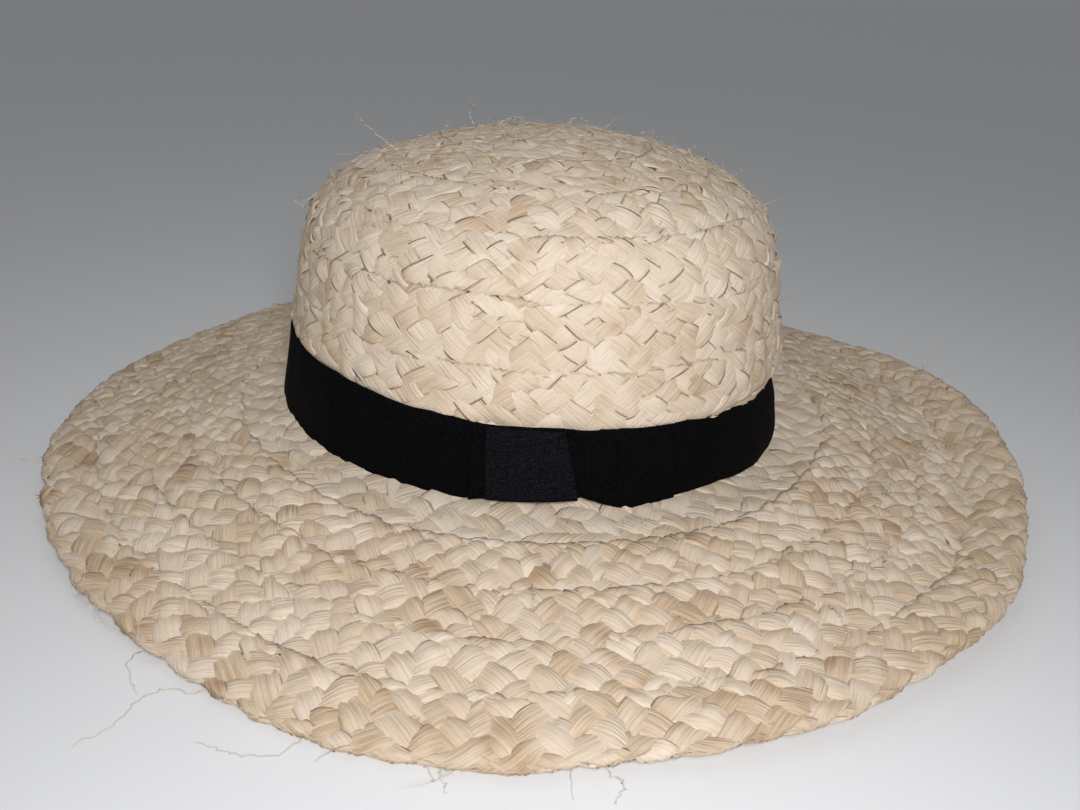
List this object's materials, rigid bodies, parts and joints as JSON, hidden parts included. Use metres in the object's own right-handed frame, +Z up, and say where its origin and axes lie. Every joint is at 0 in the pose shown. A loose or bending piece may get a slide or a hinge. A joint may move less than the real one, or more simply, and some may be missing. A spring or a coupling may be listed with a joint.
{
  "type": "wide-brim straw hat",
  "caption": "Wide-brim braided straw hat with a domed oval crown, a wavy sewn brim turned up at one side, and a black ribbon band with a flat wrapped keeper at the front.",
  "frame": {"origin": "on the floor that the hat rests on, below the middle of the brim's outline", "axes": "+Z up through the crown, -Y to the front of the hat where the keeper is, +X to the right of someone who faces the front, along the brim's longer diameter"},
  "size_m": [0.3948, 0.3678, 0.1282],
  "materials": {
    "straw": "matt braided raffia straw",
    "ribbon": "matt black grosgrain ribbon, ribs across its width",
    "keeper_ribbon": "matt black grosgrain ribbon, ribs along the band"
  },
  "bodies": {
    "root": {"crown": "straw", "brim": "straw", "hat_band": "ribbon", "ribbon_lap": "ribbon", "band_keeper": "keeper_ribbon"}
  },
  "joints": []
}
